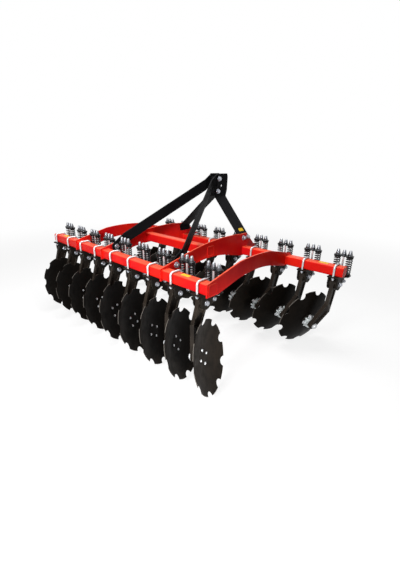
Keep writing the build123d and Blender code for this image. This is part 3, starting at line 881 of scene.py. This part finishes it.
# each disc's own bolts, hub casting and backing plate, turning with it
discBolts = {
    "count": 4,
    "circle": 0.050,
    "fromNotch": 8,             # degrees from a blade's first notch to its first bolt
    "blade": 0.0042,            # blade's thickness over the hub's face
    "head": 0.017,
    "headHeight": 0.006,
    "nut": 0.021,
    "nutHeight": 0.012,
    "nutWasher": 0.0145,
    "thread": 0.0058,
    "tail": 0.006,
}
hubSizes = {
    "flange": 0.010,
    "backing": 0.0012,
    "backingRadius": 0.0632,
    "backingInside": 0.002,     # how far it starts inside the body
    "backingShort": 0.0004,     # how far it stops behind the flange's face
    "backingSides": 48,
    "body": 0.044,
    "ringHalf": 0.004,
    "ringProud": 0.0026,
    "ringEase": 0.001,
    "ringLift": 0.0005,
    "ringSides": 40,
    "secondRing": 4.6,          # how far up it stands, in half rings
    "ribs": 4,
    "ribHalf": 0.005,
    "ribInside": 0.004,         # how far a rib starts inside the body
    "ribReach": 0.059,          # from the axle, at the flange
    "ribLength": 0.022,
}
discTurns = {                   # degrees that each blade stands turned on its axle, from the left
    "front": (19, 28, 64, 1, 49, 30, 128, 14, 84),
    "rear": (14, 45, 103, 28, 219, 221, 273, 75, 173),
}


def discPlace(centre, axis, hand):  # local X down the disc's face to its lowest point, Z along its axle
    down = (axis * axis.z - Vector((0, 0, 1))).normalized()
    across = axis.cross(down) * hand
    place = Matrix((down, across, axis)).transposed().to_4x4()
    return Matrix.Translation(centre) @ place


def addDiscBolts(mesh, place, axis, turned):
    sizes = discBolts
    nut = [sizes[name] for name in ("nut", "nutHeight", "thread", "tail", "nutWasher")]
    for i in range(sizes["count"]):
        turn = math.radians(turned + sizes["fromNotch"] + 360 * i / sizes["count"])
        spot = Vector((sizes["circle"] * math.cos(turn), sizes["circle"] * math.sin(turn), 0))
        front = place @ (spot + Vector((0, 0, hubFace + sizes["blade"])))
        back = place @ (spot + Vector((0, 0, hubFace - hubSizes["flange"] - hubSizes["backing"])))
        addBolt(mesh, front, axis, sizes["head"], sizes["headHeight"], turn=turn)
        addNut(mesh, back, -axis, *nut, turn)


def addHubCasting(mesh, place, turned):  # rings of the bearing cap and ribs up to the flange, on the hub
    sizes = hubSizes
    body, half, proud, ease = sizes["body"], sizes["ringHalf"], sizes["ringProud"], sizes["ringEase"]
    profile = [
        (body - half, -half),
        (body + proud - ease, -half),
        (body + proud, ease - half),
        (body + proud, half - ease),
        (body + proud - ease, half),
        (body - half, half),
    ]
    for shift in (half, half * sizes["secondRing"]):
        rise = Matrix.Translation((0, 0, hubEnd + shift + sizes["ringLift"]))
        addTurned(mesh, place @ rise, profile, sizes["ringSides"], closed=True)
    foot, inside = hubFace - sizes["flange"], body - sizes["ribInside"]
    for i in range(sizes["ribs"]):
        angle = turned + discBolts["fromNotch"] + 360 * (i + 0.5) / sizes["ribs"]
        spin = place @ Matrix.Rotation(math.radians(angle), 4, "Z")
        corners = ((inside, foot), (sizes["ribReach"], foot), (inside, foot - sizes["ribLength"]))
        rings = []
        for y in (-sizes["ribHalf"], sizes["ribHalf"]):
            rings.append([spin @ Vector((radius, y, height)) for radius, height in corners])
        addRings(mesh, rings)


def addHubBacking(mesh, place):  # painted plate that wraps the flange behind the blade
    sizes = hubSizes
    top, under = hubFace - sizes["backingShort"], hubFace - sizes["flange"]
    wide, thick = sizes["backingRadius"], sizes["backing"]
    inside = sizes["body"] - sizes["backingInside"]
    profile = [
        (inside, under),
        (inside, under - thick),
        (wide - thick, under - thick),
        (wide, under),
        (wide, top),
        (wide - thick, top),
    ]
    addTurned(mesh, place, profile, sizes["backingSides"], closed=True)


for row in rows:
    for i, (body, centre, axis) in enumerate(row["discs"]):
        turned = discTurns[row["name"]][i]
        place = discPlace(centre, axis, row["hand"])

        def buildDiscBolts(mesh):
            addDiscBolts(mesh, place, axis, turned)

        def buildHubCasting(mesh):
            addHubCasting(mesh, place, turned)

        def buildHubBacking(mesh):
            addHubBacking(mesh, place)

        makePiece(f"{row['name']}_disc_bolts_{i + 1}", buildDiscBolts, brightZinc, body)
        makePiece(f"{row['name']}_hub_backing_{i + 1}", buildHubBacking, bracketPaint, body)
        makePiece(f"{row['name']}_hub_casting_{i + 1}", buildHubCasting, hubZinc, body)
print("disc bolts in place")

# axle nut on the outside of each arm's foot
axleNut = {
    "hubGap": 0.002,
    "armThickness": 0.030,
    "washer": 0.032,
    "washerThickness": 0.004,
    "acrossFlats": 0.045,
    "height": 0.0114,           # washer to dome
    "turn": 0.2,
    "dome": 0.0205,
    "domeHeight": 0.011,
    "domeTip": 0.001,
    "domeRings": 8,
    "domeSides": 28,
}


def addAxleNut(mesh, foot, axis):
    sizes = axleNut
    seat = foot - axis * sizes["washerThickness"]
    head = addBolt(mesh, seat, -axis, sizes["acrossFlats"], sizes["height"], turn=sizes["turn"])
    profile = []
    for k in range(sizes["domeRings"]):
        rise = math.pi / 2 * k / sizes["domeRings"]
        profile.append((sizes["dome"] * math.cos(rise), sizes["domeHeight"] * math.sin(rise)))
    addTurned(mesh, head, profile + [(sizes["domeTip"], sizes["domeHeight"])], sizes["domeSides"])


def addAxleWasher(mesh, foot, axis):
    addWasher(mesh, placeAt(foot, -axis), axleNut["washer"], axleNut["washerThickness"])


def eachFoot(row, addOne):  # a build that repeats addOne at the outside of every arm's foot
    def build(mesh):
        for body, centre, axis in row["discs"]:
            addOne(mesh, centre + axis * (hubEnd - axleNut["hubGap"] - axleNut["armThickness"]), axis)
    return build


for row in rows:
    makePiece(row["name"] + "_axle_nuts", eachFoot(row, addAxleNut), brightZinc, "frame")
    makePiece(row["name"] + "_axle_washers", eachFoot(row, addAxleWasher), armPaint, "frame")
print("axle nuts in place")

# mast bolts
mastBolts = {
    "braceTop": (0.008, 0.642),     # ahead of and above the front beam's middle
    "lowTie": (-0.006, 0.525),
    "footSpread": 0.034,
    "footRise": 0.125,
    "braceFoot": (0.105, 0.050),    # ahead of and above the rear beam's middle
    "headPlate": 0.012,
    "head": 0.032,
    "headHeight": 0.013,
    "nutHeight": 0.016,
    "thread": 0.0098,
    "tail": 0.007,
    "washer": 0.023,
    "headWasher": 0.004,            # thickness under a head
    "turn": 0.2,
}


def buildMastBolts(mesh):
    front, rear = rows[0]["beam"], rows[1]["beam"]
    sizes = mastBolts
    head = (sizes["head"], sizes["headHeight"], sizes["washer"], sizes["headWasher"])
    nut = (sizes["head"], sizes["nutHeight"], sizes["thread"], sizes["tail"], sizes["washer"])
    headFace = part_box("mast_ties")[1].x + sizes["headPlate"]
    footAhead, footRise = sizes["braceFoot"]
    for side in (-1, 1):
        along = (side, 0, 0)
        for ahead, rise in (sizes["braceTop"], sizes["lowTie"]):
            spot = Vector((side * headFace, front.y + ahead, front.z + rise))
            addBolt(mesh, spot, along, *head, sizes["turn"])
        outer = side * innerPlateFace
        for shift in (-1, 1):
            spot = Vector((outer, front.y + shift * sizes["footSpread"], front.z + sizes["footRise"]))
            addNut(mesh, spot, along, *nut)
        addNut(mesh, Vector((outer, rear.y + footAhead, rear.z + footRise)), along, *nut)
        inner = side * (innerPlateBack - plateThickness)
        addBolt(mesh, Vector((inner, rear.y + footAhead, rear.z + footRise)), (-side, 0, 0), *head)


makePiece("mast_bolts", buildMastBolts, boltZinc, "frame")
print("mast bolts in place")

# weld beads where the beams pass the plates, under the red paint
weldSizes = {
    "bead": 0.0045,
    "ripple": 0.0038,
    "rippleDepth": 0.16,
    "wander": 0.06,
    "wanderRate": 90,           # radians for each metre of bead
    "step": 0.0014,
    "corner": 0.012,            # radius at the beam's corners
    "cornerSteps": 4,           # at least
    "sides": 7,
    "endSlack": 0.001,          # a plate's face this far past a beam's end still gets its bead
    "smoothBelow": 80,
}


def squarePath(half, corner, step):  # closed square with round corners: (a, b, outward) in its own plane
    path = []
    reach = half - corner
    for quarter in range(4):
        middle = Vector((reach, reach))
        turnBy = Matrix.Rotation(math.pi / 2 * quarter, 2)
        arcSteps = max(weldSizes["cornerSteps"], round(corner * math.pi / 2 / step))
        for k in range(arcSteps + 1):
            angle = math.pi / 2 * k / arcSteps
            outward = Vector((math.cos(angle), math.sin(angle)))
            path.append((turnBy @ (middle + outward * corner), turnBy @ outward))
        runSteps = max(1, round(2 * reach / step))
        start, end = middle + Vector((0, corner)), Vector((-reach, reach + corner))
        for k in range(1, runSteps):
            path.append((turnBy @ start.lerp(end, k / runSteps), turnBy @ Vector((0, 1))))
    return path


def addWeldLoop(mesh, x, y, z, side, seed):
    path = squarePath(halfBeam, weldSizes["corner"], weldSizes["step"])
    points, normals, radii = [], [], []
    travelled = 0.0
    for k, (spot, outward) in enumerate(path):
        if k:
            travelled += (spot - path[k - 1][0]).length
        phase = (travelled / weldSizes["ripple"]) % 1.0
        wander = math.sin(travelled * weldSizes["wanderRate"] + seed) * weldSizes["wander"]
        radii.append(weldSizes["bead"] * (1 - weldSizes["rippleDepth"] * phase + wander))
        points.append(Vector((x, y + spot.x, z + spot.y)))
        normals.append(Vector((side, outward.x, outward.y)).normalized())
    addTube(mesh, points, normals, radii, weldSizes["sides"], loop=True)


def buildWelds(mesh):
    plates = ("left_outer_plate", "left_inner_plate", "right_inner_plate", "right_outer_plate")
    plateBoxes = [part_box(name) for name in plates]
    slack = weldSizes["endSlack"]
    for row in rows:
        low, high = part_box(row["name"] + "_beam")
        for k, (plateLow, plateHigh) in enumerate(plateBoxes):
            outerSide = 1 if k > 1 else -1
            outer = plateHigh.x if k == 3 else plateLow.x if k == 0 else outerSide * innerPlateFace
            for x, side in ((outer, outerSide), (outer - outerSide * plateThickness, -outerSide)):
                if low.x - slack < x < high.x + slack:
                    addWeldLoop(mesh, x, row["beam"].y, row["beam"].z, side, k + x)
    middle = boxMiddle("middle_beam")
    for side in (-1, 1):
        addWeldLoop(mesh, side * innerPlateBack, middle.y, middle.z, -side, side)
        addWeldLoop(mesh, side * innerPlateFace, middle.y, middle.z, side, side + 2)


makePiece("frame_welds", buildWelds, redPaint, "frame", weldSizes["smoothBelow"])
print("welds laid")

# blank film patches on the beams and the mast
patchSizes = {
    "thickness": 0.0003,
    "corner": 0.004,
    "cornerSteps": 4,
    "edge": 0.0003,             # how far the top draws in
    "ahead": 0.004,             # of a beam's middle
}
patches = (  # name, beam, place along X, length, width
    ("sticker_rear_right", "rear", 0.618, 0.078, 0.036),
    ("sticker_rear_left", "rear", -1.170, 0.078, 0.036),
    ("sticker_front_right", "front", 1.188, 0.078, 0.036),
)


def addPatch(mesh, place, length, width):  # thin film with round corners on local XY
    corner, steps = patchSizes["corner"], patchSizes["cornerSteps"]
    rings = []
    for height, inset in ((0.0, 0.0), (patchSizes["thickness"], patchSizes["edge"])):
        ring = []
        for quarter, (right, ahead) in enumerate(((1, 1), (-1, 1), (-1, -1), (1, -1))):
            middle = Vector((right * (length / 2 - corner), ahead * (width / 2 - corner), height))
            for k in range(steps + 1):
                angle = math.pi / 2 * (quarter + k / steps)
                away = Vector((math.cos(angle), math.sin(angle), 0))
                ring.append(place @ (middle + away * (corner - inset)))
        rings.append(ring)
    addRings(mesh, rings)


mastPatch = {
    "x": 0.352,
    "ahead": 0.003,             # of the front beam's middle
    "length": 0.066,
    "width": 0.034,
    "bed": 0.0001,              # how deep it sits in the leg's face
    "lean": 0.4,                # how far that face looks out and up, at least
}


def buildMastPatch(mesh):  # on the outer face of the mast's right leg
    leg = frame["nodes"]["mast_right_plate"].data
    lean = mastPatch["lean"]
    outward = [face for face in leg.polygons if face.normal.x > lean and face.normal.z > lean]
    face = max(outward, key=lambda one: one.area)
    normal = face.normal.copy()
    corner = leg.vertices[face.vertices[0]].co
    x = mastPatch["x"]
    y = boxMiddle("front_beam").y + mastPatch["ahead"]
    z = corner.z - ((x - corner.x) * normal.x + (y - corner.y) * normal.y) / normal.z
    spot = Vector((x, y, z)) - normal * mastPatch["bed"]
    across = Vector((0, 1, 0))
    turned = Matrix((across, normal.cross(across), normal)).transposed().to_4x4()
    addPatch(mesh, Matrix.Translation(spot) @ turned, mastPatch["length"], mastPatch["width"])


makePiece("sticker_mast", buildMastPatch, stickerFilm, "frame")
for name, beamName, x, length, width in patches:
    def buildPatch(mesh):
        beam = boxMiddle(beamName + "_beam")
        spot = Vector((x, beam.y + patchSizes["ahead"], beam.z + halfBeam))
        addPatch(mesh, placeAt(spot), length, width)

    makePiece(name, buildPatch, stickerFilm, "frame")
print("patches laid")

# floor, background, lights and camera
stageSizes = {
    "floorHalf": 40.0,
    "floorCuts": 4,
    "floorColour": (0.30, 0.30, 0.30, 1),
    "floorRoughness": 0.9,
    "mottleScale": 1.5,
    "mottleLow": 0.3,
    "mottleHigh": 0.7,
    "mottleTone": 0.985,        # of the floor's colour
    "floorLift": 0.76,          # added for the camera only, so that the lit floor reads white
    "fadeStart": 2.2,           # from the middle of the floor, where it begins to turn plain white
    "fadeEnd": 6.0,
    "roomLight": 0.14,          # the white room's light on the object
}


def seenRays(tree):  # 1 for what the camera sees, straight, mirrored or through glass
    path = addNode(tree, "ShaderNodeLightPath")
    seen = addMath(tree, "MAXIMUM", path.outputs["Is Camera Ray"], path.outputs["Is Glossy Ray"])
    return addMath(tree, "MAXIMUM", seen, path.outputs["Is Transmission Ray"])


def makeFloor():
    mesh = bmesh.new()
    half = stageSizes["floorHalf"]
    corners = ((-half, -half), (half, -half), (half, half), (-half, half))
    mesh.faces.new([mesh.verts.new((x, y, 0)) for x, y in corners])
    bmesh.ops.subdivide_edges(mesh, edges=mesh.edges, cuts=stageSizes["floorCuts"], use_grid_fill=True)
    data = bpy.data.meshes.new("floor")
    mesh.to_mesh(data)
    mesh.free()
    floor = bpy.data.objects.new("floor", data)
    bpy.context.scene.collection.objects.link(floor)
    material, tree, shader = startMaterial("floorPale", stageSizes["floorRoughness"], 0.0)
    place = addNode(tree, "ShaderNodeTexCoord").outputs["Object"]
    mottle = addNoise(tree, place, stageSizes["mottleScale"])
    mottle = addRange(tree, mottle, stageSizes["mottleLow"], stageSizes["mottleHigh"])
    pale = stageSizes["floorColour"]
    away = addVectorMath(tree, "LENGTH", place)
    faded = addRange(tree, away, stageSizes["fadeStart"], stageSizes["fadeEnd"])
    tone = addMix(tree, mottle, pale, tuple(stageSizes["mottleTone"] * c for c in pale[:3]) + (1,))
    link(tree, addMix(tree, faded, tone, (0, 0, 0, 1)), shader.inputs["Base Color"])
    shader.inputs["Emission Color"].default_value = (1, 1, 1, 1)
    glow = addRange(tree, faded, 0.0, 1.0, stageSizes["floorLift"], 1.0, soft=False)
    link(tree, addMath(tree, "MULTIPLY", seenRays(tree), glow), shader.inputs["Emission Strength"])
    data.materials.append(material)


def makeRoom():
    world = bpy.data.worlds.new("whiteRoom")
    bpy.context.scene.world = world
    world.use_nodes = True
    tree = world.node_tree
    background = tree.nodes["Background"]
    background.inputs["Color"].default_value = (1, 1, 1, 1)
    strength = addRange(tree, seenRays(tree), 0.0, 1.0, stageSizes["roomLight"], 1.0, soft=False)
    link(tree, strength, background.inputs["Strength"])


lamps = (  # name, place, aimed at, width, height, power, spread
    ("keyPanel", (0.85, -3.3, 2.0), (0.5, -0.5, 0.6), 1.0, 1.0, 116, 180),
    ("topPanel", (-0.4, 0.6, 4.2), (0.0, 0.0, 0.5), 3.2, 2.2, 112, 180),
    ("lowPanel", (2.6, -1.15, 0.25), (1.0, -0.5, 0.20), 0.5, 0.4, 3, 30),
)


def makeLamps():
    for name, place, target, width, height, power, spread in lamps:
        data = bpy.data.lights.new(name, "AREA")
        data.spread = math.radians(spread)
        data.shape, data.size, data.size_y, data.energy = "RECTANGLE", width, height, power
        lamp = bpy.data.objects.new(name, data)
        aim = Vector(target) - Vector(place)
        lamp.matrix_world = Matrix.Translation(place) @ aim.to_track_quat("-Z", "Y").to_matrix().to_4x4()
        bpy.context.scene.collection.objects.link(lamp)


cameraLook = {
    "place": (2.1059, -1.9542, 1.4552),
    "azimuth": 42.297,          # 0 looks along +Y
    "elevation": 21.083,
    "roll": 0.883,
    "lens": 28.372,
    "sensor": 36.0,
    "clipEnd": 200,
}


def makeCamera():
    azimuth, elevation = math.radians(cameraLook["azimuth"]), math.radians(cameraLook["elevation"])
    back = Vector((
        math.sin(azimuth) * math.cos(elevation),
        -math.cos(azimuth) * math.cos(elevation),
        math.sin(elevation),
    ))
    level = Vector((math.cos(azimuth), math.sin(azimuth), 0))
    upright = back.cross(level)
    roll = Matrix.Rotation(math.radians(cameraLook["roll"]), 3, "Z")
    turn = Matrix((level, upright, back)).transposed() @ roll
    data = bpy.data.cameras.new("camera")
    data.sensor_fit = "HORIZONTAL"
    data.sensor_width = cameraLook["sensor"]
    data.lens = cameraLook["lens"]
    data.clip_end = cameraLook["clipEnd"]
    camera = bpy.data.objects.new("camera", data)
    camera.matrix_world = Matrix.Translation(cameraLook["place"]) @ turn.to_4x4()
    bpy.context.scene.collection.objects.link(camera)
    bpy.context.scene.camera = camera


makeFloor()
makeRoom()
makeLamps()
makeCamera()
bpy.context.scene.view_settings.view_transform = "Standard"
print("stage lit")
